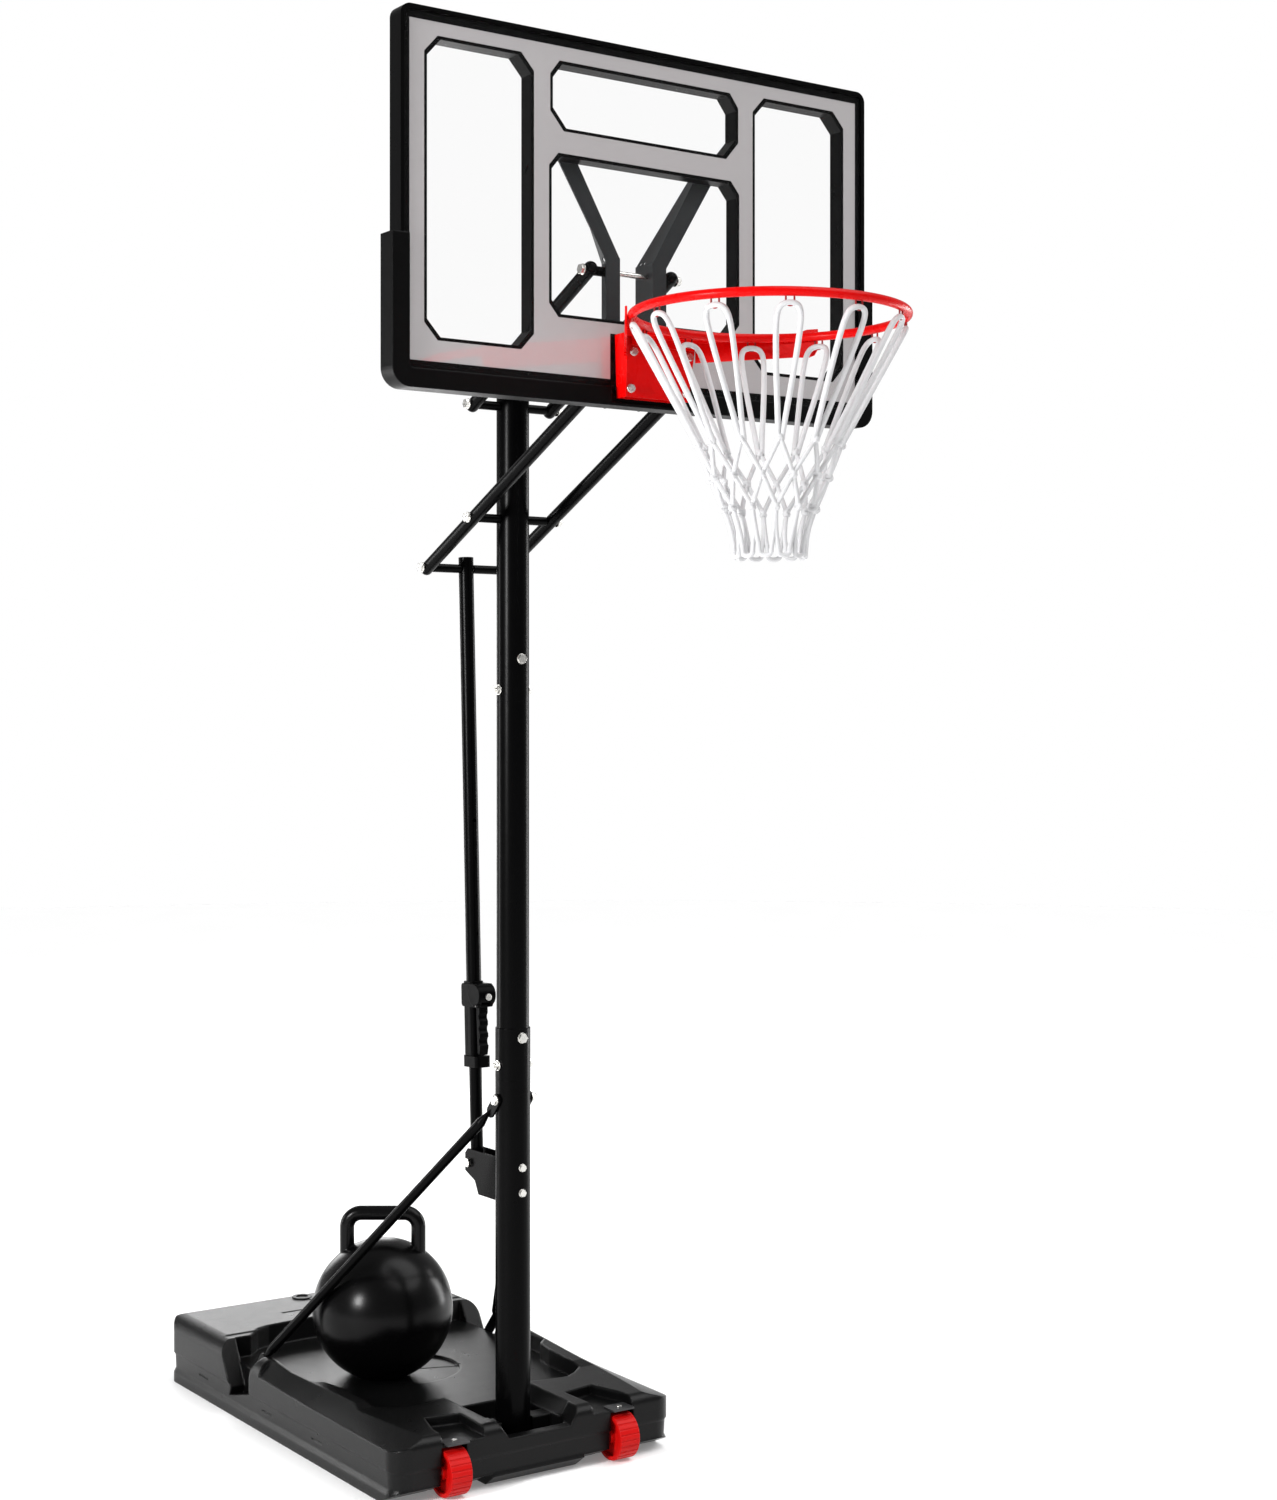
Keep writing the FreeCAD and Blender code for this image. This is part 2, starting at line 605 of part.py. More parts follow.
def strut_top_bolt():
    """Bolt through the pole and both strut tops, with a domed nut."""
    return bolt((-40.2, 0, 739), (40.2, 0, 739), BOLT_RADIUS, 16, dome=True)


def strut_foot_bolts():
    """Screw that fixes each strut foot to the tank."""
    seat_x = SLOT_WALL_X + 4.4
    right = screw((seat_x, *STRUT_FOOT), (seat_x - 27, *STRUT_FOOT), 4.0, 13)
    return [right, mirrored(right)]


# ---------------------------------------------------------------- four-bar lift

def arm_direction():
    """Unit vector along the arms, from the pole pivot to the front pivot."""
    direction = Vector(0, FRONT_PIVOT_Y, FRONT_PIVOT_Z - LOWER_PIVOT_Z)
    direction.normalize()
    return direction


def crossbar_point():
    """Where the lower arms' rear ends hold the lift rod."""
    direction = arm_direction()
    return Vector(0, CROSSBAR_Y, LOWER_PIVOT_Z + CROSSBAR_Y * direction.z / direction.y)


def arm(pivots):
    """Tubular arm with round ends, drilled for its pivots; the first and last are near its ends."""
    overhang = 6.0
    direction = arm_direction()
    start = pivots[0] - direction * overhang
    end = pivots[-1] + direction * overhang
    offset = X_AXIS * ARM_X
    body = [Part.makeCylinder(ARM_RADIUS, (end - start).Length, start + offset, direction),
            Part.makeSphere(ARM_RADIUS, start + offset), Part.makeSphere(ARM_RADIUS, end + offset)]
    bore = Part.makeCylinder(ARM_RADIUS - ARM_WALL, (end - start).Length, start + offset, direction)
    drills = [rod((ARM_X - 20, p.y, p.z), (ARM_X + 20, p.y, p.z), BOLT_RADIUS + RUNNING_GAP)
              for p in pivots]
    return cut(fuse(body), [bore] + drills)


def lower_arm():
    """Lower arm: rear crossbar, pole pivot and front pivot."""
    return arm([crossbar_point(), Vector(0, 0, LOWER_PIVOT_Z), Vector(0, FRONT_PIVOT_Y, FRONT_PIVOT_Z)])


def upper_arm():
    """Upper arm: pole pivot and front pivot."""
    return arm([Vector(0, 0, LOWER_PIVOT_Z + PIVOT_RISE),
                Vector(0, FRONT_PIVOT_Y, FRONT_PIVOT_Z + PIVOT_RISE)])


def spacer(x0, x1, y, z):
    """Tube that holds an arm away from its neighbour along X."""
    body = rod((x0, y, z), (x1, y, z), SPACER_RADIUS)
    return body.cut(rod((x0, y, z), (x1, y, z), SPACER_BORE))


def spacer_pair(x0, y, z):
    """The same spacer on both sides."""
    right = spacer(x0, SPACER_END_X, y, z)
    return [right, mirrored(right)]


def pivot_bolt(y, z):
    """Long bolt across both arms."""
    seat = ARM_X + ARM_RADIUS + 0.6
    return bolt((-seat, y, z), (seat, y, z), BOLT_RADIUS, 17)


# ---------------------------------------------------------------- lift rod

def rod_length():
    """Distance between the rod's two pivots."""
    return (crossbar_point() - Vector(*ROD_FOOT)).Length


def on_rod(shape):
    """Move a shape built upright on the origin onto the leaning rod."""
    lean = crossbar_point() - Vector(*ROD_FOOT)
    angle = math.degrees(math.atan2(lean.y, lean.z))
    placed = shape.copy()
    placed.rotate(Vector(0, 0, 0), X_AXIS, -angle)
    placed.translate(Vector(*ROD_FOOT))
    return placed


def lift_outer_tube():
    """Outer tube of the rod, hung on the crossbar, with adjusting holes facing the pole."""
    top = rod_length() + OUTER_TUBE_OVERRUN
    body = rod((0, 0, OUTER_TUBE_START), (0, 0, top), OUTER_TUBE_RADIUS)
    tools = [rod((0, 0, OUTER_TUBE_START), (0, 0, top - 4), OUTER_TUBE_BORE)]
    tools.append(rod((-20, 0, rod_length()), (20, 0, rod_length()), BOLT_RADIUS + RUNNING_GAP))
    for height in ADJUSTER_HOLES:
        tools.append(rod((0, -20, height), (0, 0, height), 4.5))
    tools.append(rod((0, -20, 342), (0, 0, 342), 4.6))
    return on_rod(cut(body, tools))


def lift_inner_tube():
    """Inner tube of the rod; its foot sits between the ears of the pole bracket."""
    body = rod((0, 0, -14), (0, 0, INNER_TUBE_TOP), INNER_TUBE_RADIUS)
    return on_rod(body.cut(rod((0, 0, -14), (0, 0, INNER_TUBE_TOP), INNER_TUBE_BORE)))


def grip_housing():
    """Moulded handle clamped round the outer tube."""
    lower = rounded_box(-16, 16, -17, 20, 196, 372, 9)
    collar = rounded_box(-18, 18, -34, 21, 196, 219, 8)
    head = rounded_box(-18, 18, -46, 21, 320, 368, 7, "X")
    knob = rod((-20, -32, 345), (20, -32, 345), 22)
    body = fuse([lower, collar, head, knob])
    tools = [rod((0, 0, 190), (0, 0, 380), OUTER_TUBE_RADIUS)]
    tools.append(rod((0, -60, 342), (0, 0, 342), 4.3))
    tools.append(box(-11, 11, -60, -17.5, 290, 331))
    tools.append(rod((-30, -34, 324), (30, -34, 324), 2.5))
    return on_rod(cut(body, tools))


def trigger():
    """Finger lever in front of the handle, scalloped for the fingers."""
    side = ((-37, 318), (-30, 330), (-24, 318), (-26.5, 226), (-33.5, 222), (-38, 240))
    body = prism([(-10, y, z) for y, z in side], (20, 0, 0))
    eye = rod((-10, -34, 324), (10, -34, 324), 6)
    body = fuse([body, eye])
    tools = [rod((-12, -34, 324), (12, -34, 324), 2.5 + RUNNING_GAP)]
    for index in range(3):
        height = 250 + 25 * index
        tools.append(rod((-12, -44.5, height), (12, -44.5, height), 11))
    return on_rod(cut(body, tools))


def trigger_pin():
    """Hinge pin of the finger lever."""
    return on_rod(rod((-17.8, -34, 324), (17.8, -34, 324), 2.5))


def lock_pin():
    """Spring pin that drops into the tubes' holes, shown drawn back."""
    shaft = rod((0, -58, 342), (0, -14.2, 342), 4.0)
    button = rod((0, -60, 342), (0, -54.6, 342), 7.0)
    return on_rod(fuse([shaft, button]))


def rod_lower_bracket():
    """Channel bracket on the back of the pole that takes the rod's foot."""
    side = ((35.6, 530), (104, 530), (118, 556), (157, 572), (157, 608), (147, 618), (35.6, 618))
    ear = prism([(15.8, y, z) for y, z in side], (3, 0, 0))
    web = box(-18.8, 18.8, 35.6, 38.6, 530, 618)
    body = fuse([ear, mirrored(ear), web])
    drills = [rod((0, 30, z), (0, 45, z), 4.1) for z in (554.5, 605)]
    drills.append(rod((-30, 140, 590), (30, 140, 590), BOLT_RADIUS))
    return cut(body, drills)


def rod_bracket_bolts():
    """Bolts that hold the channel bracket on the pole."""
    return [bolt((0, -BELL_OUTER, z), (0, 38.7, z), 4.0, 13) for z in (554.5, 605)]


def rod_pivot_studs():
    """Shouldered stud in each ear of the channel bracket."""
    shank = rod((15.8, 140, 590), (22, 140, 590), BOLT_RADIUS)
    right = fuse([shank, hexagon(Vector(18.8, 140, 590), X_AXIS, 17, 7)])
    return [right, mirrored(right)]


# ---------------------------------------------------------------- backboard

def chamfered(x0, x1, z0, z1, top, bottom):
    """Window outline with cut corners; each chamfer is a pair of x and z lengths."""
    (tx, tz), (bx, bz) = top, bottom
    return [(x0 + bx, z0), (x1 - bx, z0), (x1, z0 + bz), (x1, z1 - tz),
            (x1 - tx, z1), (x0 + tx, z1), (x0, z1 - tz), (x0, z0 + bz)]


def windows(margin):
    """Outlines of the four see-through windows, grown by a margin."""
    side = chamfered(252 - margin, 465 + margin, 2170 - margin, 2688 + margin, (27, 30), (27, 30))
    top = chamfered(-206 - margin, 206 + margin, 2571 - margin, 2685.5 + margin, (20, 26), (29, 34))
    centre = chamfered(-208.5 - margin, 208.5 + margin, 2235 - margin, 2519 + margin, (20, 24), (20, 24))
    return [side, [(-x, z) for x, z in side], top, centre]


def window_tools(margin):
    """Cutters for the four windows."""
    return [prism([(x, -500, z) for x, z in outline], (0, 100, 0)) for outline in windows(margin)]


def board_block(inset, y0, y1):
    """Rectangle with round corners in the board's outline."""
    return rounded_box(-BOARD_HALF_WIDTH + inset, BOARD_HALF_WIDTH - inset, y0, y1,
                       BOARD_BOTTOM_Z + inset, BOARD_TOP_Z - inset, BOARD_CORNER - inset, "Y")


def bolt_positions():
    """Bolts that run through the rim bracket, the board and the rear brackets."""
    return [(x, z) for x in (-62, 62) for z in (2107, 2173)]


def bracket_screw_positions():
    """Screws that hold the rear brackets on the board."""
    return [(side * x, z) for side in (-1, 1) for x, z in ((53, 2214), (163, 2543))]


def through_drills(radius):
    """Holes along Y for the bolts of the rim."""
    return [rod((x, -540, z), (x, -400, z), radius) for x, z in bolt_positions()]


def clear_sheet():
    """Clear front sheet."""
    sheet = board_block(TRIM_WALL + 0.2, BOARD_FRONT_Y, BOARD_FRONT_Y + SHEET_THICKNESS)
    return cut(sheet, through_drills(4.1))


def print_layer():
    """Thin printed panel behind the sheet, open at the windows and round the rim bracket."""
    y = BOARD_FRONT_Y + SHEET_THICKNESS
    panel = box(-PANEL_HALF_WIDTH, PANEL_HALF_WIDTH, y, y + PRINT_THICKNESS, PANEL_BOTTOM_Z, PANEL_TOP_Z)
    return cut(panel, window_tools(PRINT_MARGIN) + [box(-82, 82, -500, -400, 2100, 2210)])


def board_core():
    """Thick frame behind the sheet with four windows."""
    y = BOARD_FRONT_Y + SHEET_THICKNESS + PRINT_THICKNESS
    body = board_block(TRIM_WALL + 0.2, y, BOARD_BACK_Y)
    pilots = [rod((x, -460, z), (x, -430, z), 3.0) for x, z in bracket_screw_positions()]
    return cut(body, window_tools(0) + through_drills(4.1) + pilots)


def border_trim():
    """Edge frame that holds the sheet on the core."""
    outer = board_block(0, BOARD_FRONT_Y - 2.5, BOARD_BACK_Y)
    opening = board_block(TRIM_WALL, BOARD_FRONT_Y, BOARD_BACK_Y)
    face = board_block(TRIM_LIP, BOARD_FRONT_Y - 2.5, BOARD_FRONT_Y)
    bracket_gap = box(-82, 82, -490, BOARD_FRONT_Y, 2080, 2120)
    return cut(outer, [opening, face, bracket_gap])


def edge_pad():
    """Cushioned U round the board's lower edge."""
    front_y = BOARD_FRONT_Y - 6
    block = box(-PAD_HALF_WIDTH, PAD_HALF_WIDTH, front_y, BOARD_BACK_Y, PAD_BOTTOM_Z, PAD_TOP_Z)
    lower = [edge for edge in block.Edges
             if abs(edge.Vertexes[0].Y - edge.Vertexes[1].Y) > 1 and edge.Vertexes[0].Z < PAD_BOTTOM_Z + 1]
    block = block.makeFillet(PAD_CORNER, lower)
    board = rounded_box(-BOARD_HALF_WIDTH - 0.2, BOARD_HALF_WIDTH + 0.2, BOARD_FRONT_Y - 2.7, BOARD_BACK_Y,
                        BOARD_BOTTOM_Z - 0.2, BOARD_TOP_Z, BOARD_CORNER, "Y")
    lip = rounded_box(-504, 504, front_y - 1, BOARD_BACK_Y, 2112, BOARD_TOP_Z, 8, "Y")
    bracket_gap = box(-84, 84, front_y - 1, BOARD_FRONT_Y + 0.1, 2085, 2120)
    return cut(block, [board, lip, bracket_gap])


def board_bracket(side):
    """Rear bracket: an upright channel that flares outwards between the windows."""
    back = BOARD_BACK_Y
    sheet = 3.0
    lower_flange = prism([(37, back, 2085), (68, back, 2085), (68, back, 2358), (37, back, 2358)],
                         (0, sheet, 0))
    flare = ((37, 2350), (68, 2350), (182, 2536), (182, 2556), (152, 2556), (142, 2540))
    upper_flange = prism([(x, back, z) for x, z in flare], (0, sheet, 0))
    lower_web = prism([(37, back, 2085), (37, back + 50, 2085), (37, back + 57, 2100),
                       (37, back + 57, 2358), (37, back, 2358)], (sheet, 0, 0))
    upper_web = prism([(37, back, 2356), (37, back + 57, 2356), (142, back + 20, 2540),
                       (142, back, 2540)], (sheet, 0, 0))
    body = fuse([lower_flange, upper_flange, lower_web, upper_web])
    tools = [rod((20, FRONT_PIVOT_Y, z), (50, FRONT_PIVOT_Y, z), BOLT_RADIUS)
             for z in (FRONT_PIVOT_Z, FRONT_PIVOT_Z + PIVOT_RISE)]
    tools += through_drills(4.1)
    tools += [rod((x, -450, z), (x, -420, z), 3.1) for x, z in bracket_screw_positions()]
    tools += [rod((30, y, 2362), (50, y, 2362), 3.5) for y in (-404, -392)]
    body = cut(body, tools)
    return body if side > 0 else mirrored(body)


def bracket_screws():
    """Screws through the rear brackets into the core."""
    return [screw((x, BOARD_BACK_Y + 3, z), (x, BOARD_BACK_Y - 18, z), 3.0, 11)
            for x, z in bracket_screw_positions()]


# ---------------------------------------------------------------- rim

def rim_bracket():
    """Folded box that carries the ring, leaning back towards its foot and open below."""
    def shell(inset):
        y_board = BOARD_FRONT_Y - inset
        top = [(-77 + inset, BRACKET_FRONT_Y + inset), (77 - inset, BRACKET_FRONT_Y + inset),
               (74 - inset, y_board), (-74 + inset, y_board)]
        bottom = [(-70 + inset, -505 + inset), (70 - inset, -505 + inset),
                  (70 - inset, y_board), (-70 + inset, y_board)]
        z_top = BRACKET_TOP_Z - inset
        z_bottom = BRACKET_BOTTOM_Z - (5 if inset else 0)
        wires = []
        for outline, z in ((top, z_top), (bottom, z_bottom)):
            points = [Vector(x, y, z) for x, y in outline]
            wires.append(Part.makePolygon(points + points[:1]))
        return Part.makeLoft(wires, True, True)
    return cut(shell(0), [shell(3.5)] + through_drills(4.1))


def rim_ring():
    """Round bar ring."""
    return Part.makeTorus(RING_RADIUS, RING_TUBE, RING_CENTRE, Z_AXIS)


def brace_strip(side):
    """Upright strap from the bracket's front corner to a point where it meets the ring."""
    thickness = 4.0
    reach = RING_RADIUS + RING_TUBE + 0.1
    corner = Vector(77.2, BRACKET_FRONT_Y + 4, 0)
    centre = Vector(RING_CENTRE.x, RING_CENTRE.y, 0)
    to_corner = corner - centre
    polar = math.atan2(to_corner.y, to_corner.x)
    contact = polar - math.acos(reach / to_corner.Length)
    normal = Vector(math.cos(contact), math.sin(contact), 0)
    touch = centre + normal * reach
    along = touch - corner
    length = along.Length
    along.normalize()
    profile = ((0, 2164), (0, 2207), (length - 30, 2207), (length - 8, 2213), (length + 12, 2213),
               (length + 12, 2176), (length + 6, 2166), (length - 6, 2162), (length - 30, 2164))
    points = [corner + along * s + Vector(0, 0, z) for s, z in profile]
    wire = Part.makePolygon(points + points[:1])
    strip = Part.Face(wire).extrude(normal * thickness)
    return strip if side > 0 else mirrored(strip)


def rim_brace():
    """Two upright straps joined by a flat web under the top of the bracket."""
    centre = RING_CENTRE
    web = prism([(-82, BRACKET_FRONT_Y - 0.1, 2199), (82, BRACKET_FRONT_Y - 0.1, 2199),
                 (203, -700, 2199), (-203, -700, 2199)], (0, 0, 3))
    opening = Part.makeCylinder(RING_RADIUS + RING_TUBE + 0.1, 60, Vector(centre.x, centre.y, 2170))
    web = cut(web, [opening])
    flange = box(-70, 70, BRACKET_FRONT_Y - 3.1, BRACKET_FRONT_Y - 0.1, 2184, 2202)
    return fuse([brace_strip(1), brace_strip(-1), web, flange])


def rim_bolts():
    """Long bolts from the rim bracket through the board to the rear brackets."""
    bolts = []
    for x, z in bolt_positions():
        lean = (BRACKET_TOP_Z - z) / (BRACKET_TOP_Z - BRACKET_BOTTOM_Z)
        front = BRACKET_FRONT_Y + 16 * lean - 1.5
        bolts.append(bolt((x, front, z), (x, BOARD_BACK_Y + 3.1, z), 4.0, 13, tail=1.5))
    return bolts


def net_hooks():
    """Small U-shaped wires under the ring."""
    hooks = []
    wire_radius = 1.6
    half = 7.0
    for index in range(HOOK_COUNT):
        angle = 2 * math.pi * index / HOOK_COUNT
        tangent = Vector(-math.sin(angle), math.cos(angle), 0)
        middle = RING_CENTRE + Vector(math.cos(angle), math.sin(angle), 0) * RING_RADIUS
        top = -RING_TUBE + 0.4
        turn = -RING_TUBE - HOOK_DROP + half + wire_radius
        left_top = middle + tangent * -half + Z_AXIS * top
        left = middle + tangent * -half + Z_AXIS * turn
        right = middle + tangent * half + Z_AXIS * turn
        right_top = middle + tangent * half + Z_AXIS * top
        bottom = middle + Z_AXIS * (turn - half)
        path = Part.Wire([Part.makeLine(left_top, left), Part.Arc(left, bottom, right).toShape(),
                          Part.makeLine(right, right_top)])
        section = Part.Wire([Part.makeCircle(wire_radius, left_top, Z_AXIS)])
        hooks.append(path.makePipeShell([section], True, False).cut(rim_ring()))
    return hooks


def net():
    """Thin open cone in the net's hanging shape."""
    outer = [(r, z) for r, z in NET_PROFILE]
    inner = [(r - NET_THICKNESS, z) for r, z in reversed(NET_PROFILE)]
    points = [Vector(r, 0, z) for r, z in outer + inner]
    face = Part.Face(Part.makePolygon(points + points[:1]))
    shell = face.revolve(Vector(0, 0, 0), Z_AXIS, 360)
    shell.translate(Vector(RING_CENTRE.x, RING_CENTRE.y, 0))
    return shell


# ---------------------------------------------------------------- ball weight

def handle_path():
    """Centre line of the loop handle."""
    corner = HANDLE_CORNER
    foot = Vector(BALL_CENTRE.x, BALL_CENTRE.y, HANDLE_FOOT_Z)
    out = HANDLE_DIRECTION
    diagonal = corner * (1 - math.sqrt(0.5))
    edges = []
    legs = []
    for side in (-1, 1):
        low = foot + out * (side * HANDLE_HALF_WIDTH)
        high = Vector(low.x, low.y, HANDLE_TOP_Z - corner)
        mid = low + out * (-side * diagonal)
        mid.z = HANDLE_TOP_Z - diagonal
        inner = low + out * (-side * corner)
        inner.z = HANDLE_TOP_Z
        legs.append((low, high, mid, inner))
    (low_a, high_a, mid_a, inner_a), (low_b, high_b, mid_b, inner_b) = legs
    edges.append(Part.makeLine(low_a, high_a))
    edges.append(Part.Arc(high_a, mid_a, inner_a).toShape())
    edges.append(Part.makeLine(inner_a, inner_b))
    edges.append(Part.Arc(inner_b, mid_b, high_b).toShape())
    edges.append(Part.makeLine(high_b, low_b))
    return Part.Wire(edges), low_a


def ball_shell():
    """Hollow ball with a small flat foot, a loop handle and a recess for its cap."""
    path, start = handle_path()
    section = Part.Wire([Part.makeCircle(HANDLE_RADIUS, start, Z_AXIS)])
    handle = path.makePipeShell([section], True, False)
    globe = Part.makeSphere(BALL_RADIUS, BALL_CENTRE)
    axis = BALL_CAP_DIRECTION
    seat = BALL_CENTRE + axis * BALL_CAP_SEAT
    boss = Part.makeCylinder(BALL_CAP_RECESS + BALL_WALL, 40, seat - axis * BALL_WALL, axis)
    hollow = Part.makeSphere(BALL_RADIUS - BALL_WALL, BALL_CENTRE)
    hollow = cut(hollow, [boss, box(-400, 400, 100, 700, 0, RECESS_FLOOR_Z + BALL_WALL)])
    recess = Part.makeCylinder(BALL_CAP_RECESS, 40, seat, axis)
    mouth = Part.makeCylinder(BALL_MOUTH, 40, seat - axis * 20, axis)
    below = box(-400, 400, 100, 700, 0, RECESS_FLOOR_Z)
    return cut(fuse([globe, handle]), [hollow, recess, mouth, below])


def ball_sand():
    """Sand in the lower half of the ball."""
    fill = Part.makeSphere(BALL_RADIUS - BALL_WALL - 0.1, BALL_CENTRE)
    limits = box(-400, 400, 100, 700, RECESS_FLOOR_Z + BALL_WALL + 0.1, BALL_CENTRE.z)
    return fill.common(limits)


def ball_cap():
    """Star-shaped screw cap sunk in the ball."""
    axis = BALL_CAP_DIRECTION
    seat = BALL_CENTRE + axis * (BALL_CAP_SEAT + 0.4)
    height = 13.0
    lobe = 8.0
    side = axis.cross(Z_AXIS)
    side.normalize()
    up = axis.cross(side)
    pieces = [Part.makeCylinder(BALL_CAP_RADIUS - 9, height, seat, axis)]
    for index in range(BALL_CAP_LOBES):
        angle = 2 * math.pi * index / BALL_CAP_LOBES
        offset = (side * math.cos(angle) + up * math.sin(angle)) * (BALL_CAP_RADIUS - lobe)
        pieces.append(Part.makeCylinder(lobe, height, seat + offset, axis))
    pieces.append(Part.makeCylinder(BALL_MOUTH - 0.5, 16, seat - axis * 14, axis))
    return fuse(pieces)


# ---------------------------------------------------------------- assembly

os.makedirs("parts", exist_ok=True)

LOWER_FRONT = (FRONT_PIVOT_Y, FRONT_PIVOT_Z)
UPPER_FRONT = (FRONT_PIVOT_Y, FRONT_PIVOT_Z + PIVOT_RISE)
CROSSBAR = crossbar_point()

NODES = {
    "base_tank": [base_tank()],
    "water_fill": [water_fill()],
    "base_filler_cap": [filler_cap()],
    "cap_tether": [cap_tether()],
    "wheel_left": [wheel(-1)],
    "wheel_right": [wheel(1)],
    "wheel_axles": wheel_axles(),
    "axle_plates": axle_plates(),
    "axle_screws": axle_screws(),
    "pole_lower": [pole_lower()],
    "pole_middle": [pole_middle()],
    "pole_upper": [pole_upper()],
    "pole_cap": [pole_cap()],
    "pole_bolts": pole_bolts(),
    "pole_foot_pin": [rod((-78.9, 0, 80), (78.9, 0, 80), 6)],
    "strut_left": [strut(-1)],
    "strut_right": [strut(1)],
    "strut_top_bolt": [strut_top_bolt()],
    "strut_foot_bolts": strut_foot_bolts(),
    "arm_lower_left": [mirrored(lower_arm())],
    "arm_lower_right": [lower_arm()],
    "arm_upper_left": [mirrored(upper_arm())],
    "arm_upper_right": [upper_arm()],
    "pole_pivot_spacers": (spacer_pair(POLE_OUTER + 0.4, 0, LOWER_PIVOT_Z)
                           + spacer_pair(POLE_OUTER + 0.4, 0, LOWER_PIVOT_Z + PIVOT_RISE)),
    "lower_pivot_bolt": [pivot_bolt(0, LOWER_PIVOT_Z)],
    "upper_pivot_bolt": [pivot_bolt(0, LOWER_PIVOT_Z + PIVOT_RISE)],
    "front_pivot_bolts": [pivot_bolt(*LOWER_FRONT), pivot_bolt(*UPPER_FRONT)],
    "front_pivot_spacers": spacer_pair(40.1, *LOWER_FRONT) + spacer_pair(40.1, *UPPER_FRONT),
    "crossbar_tubes": spacer_pair(16.2, CROSSBAR.y, CROSSBAR.z),
    "crossbar_bolt": [pivot_bolt(CROSSBAR.y, CROSSBAR.z)],
    "lift_outer_tube": [lift_outer_tube()],
    "lift_inner_tube": [lift_inner_tube()],
    "grip_housing": [grip_housing()],
    "trigger": [trigger()],
    "trigger_pin": [trigger_pin()],
    "lock_pin": [lock_pin()],
    "rod_lower_bracket": [rod_lower_bracket()],
    "rod_bracket_bolts": rod_bracket_bolts(),
    "rod_pivot_studs": rod_pivot_studs(),
    "board_bracket_left": [board_bracket(-1)],
    "board_bracket_right": [board_bracket(1)],
    "bracket_screws": bracket_screws(),
    "board_core": [board_core()],
    "print_layer": [print_layer()],
    "clear_sheet": [clear_sheet()],
    "border_trim": [border_trim()],
    "edge_pad": [edge_pad()],
    "rim_bracket": [rim_bracket()],
    "rim_ring": [rim_ring()],
    "rim_brace": [rim_brace()],
    "rim_bolts": rim_bolts(),
    "net_hooks": net_hooks(),
    "net": [net()],
    "ball_shell": [ball_shell()],
    "ball_cap": [ball_cap()],
    "ball_sand": [ball_sand()],
}

for node_name, node_solids in NODES.items():
    export(node_name, node_solids)
    print(node_name, len(node_solids), [len(solid.Solids) for solid in node_solids],
          all(solid.isValid() for solid in node_solids),
          round(sum(solid.Volume for solid in node_solids) / 1000, 1))
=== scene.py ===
import json
import math

import bmesh
import bpy
from mathutils import Matrix, Vector


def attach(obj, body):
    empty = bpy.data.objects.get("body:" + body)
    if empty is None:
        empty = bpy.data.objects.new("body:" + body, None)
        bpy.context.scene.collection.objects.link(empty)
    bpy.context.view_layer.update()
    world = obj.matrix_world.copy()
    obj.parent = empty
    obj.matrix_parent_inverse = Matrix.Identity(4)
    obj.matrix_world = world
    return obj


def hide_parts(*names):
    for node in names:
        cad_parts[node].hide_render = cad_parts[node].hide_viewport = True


# Looks of the portable basketball hoop. Metres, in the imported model's own frame.

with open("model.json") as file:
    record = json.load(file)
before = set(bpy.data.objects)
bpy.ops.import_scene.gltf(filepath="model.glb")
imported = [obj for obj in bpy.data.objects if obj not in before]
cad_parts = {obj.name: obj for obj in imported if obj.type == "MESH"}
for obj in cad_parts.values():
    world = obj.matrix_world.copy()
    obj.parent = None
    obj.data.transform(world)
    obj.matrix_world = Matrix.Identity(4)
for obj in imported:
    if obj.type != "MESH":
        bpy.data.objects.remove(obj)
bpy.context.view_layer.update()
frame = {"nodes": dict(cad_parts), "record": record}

# Net: cord radii, and the rows of knots as radius and height
HOOKS = 12
RING_CENTRE = Vector((0.0, -0.8394, 2.198))
RING_RADIUS = 0.2366
LOOP_CORD = 0.0050
MESH_CORD = 0.0042
KNOT_ROWS = ((0.124, 1.976), (0.101, 1.918), (0.079, 1.866))
# Height along a hook loop and the share of its full half width there, from its knot to its top
LOOP_TOP_Z = 2.1795
LOOP_HALF_WIDTH = 0.0205
LOOP_STATIONS = ((1.972, 0.15), (2.01, 0.32), (2.06, 0.62), (2.11, 0.86), (2.15, 1.0), (2.170, 0.92),
                 (LOOP_TOP_Z, 0.5))
STRAND_BOW = 0.001
# Lower loops: radius and height at the waist, height where the round bottom starts, and how far in
# its sides stand as a share of the step between two knots
WAIST_RADIUS = 0.067
WAIST_Z = 1.835
BOTTOM_RADIUS = 0.062
BEND_Z = 1.797
BOTTOM_Z = 1.7835
LOWER_TUCK = 0.18
# Knots: size, tilt of the two wraps, reach and thickness of a wrap as shares of the size
KNOT_SIZE = 0.0082
KNOT_TILT = 0.6
KNOT_REACH = 0.62
KNOT_THICKNESS = 0.5
KNOT_SEGMENTS = 12
KNOT_SIDES = 6

# Gap between the clear sheet and the print behind it
PANE_GAP = 0.0004

# Camera at the pictured view
CAMERA_PLACE = (-2.4454, -3.9668, 1.5161)
CAMERA_YAW = -34.77
CAMERA_LENS = 55.39
CAMERA_SHIFT_Y = -0.0246

# Studio
FLOOR_RADIUS = 14.0
FLOOR_GLOW = 0.18
WORLD_STRENGTH = 0.35
# Even overhead light: direction it comes from, spread in degrees, strength
OVERHEAD = ((0.35, -0.45, 1.0), 55.0, 2.4)
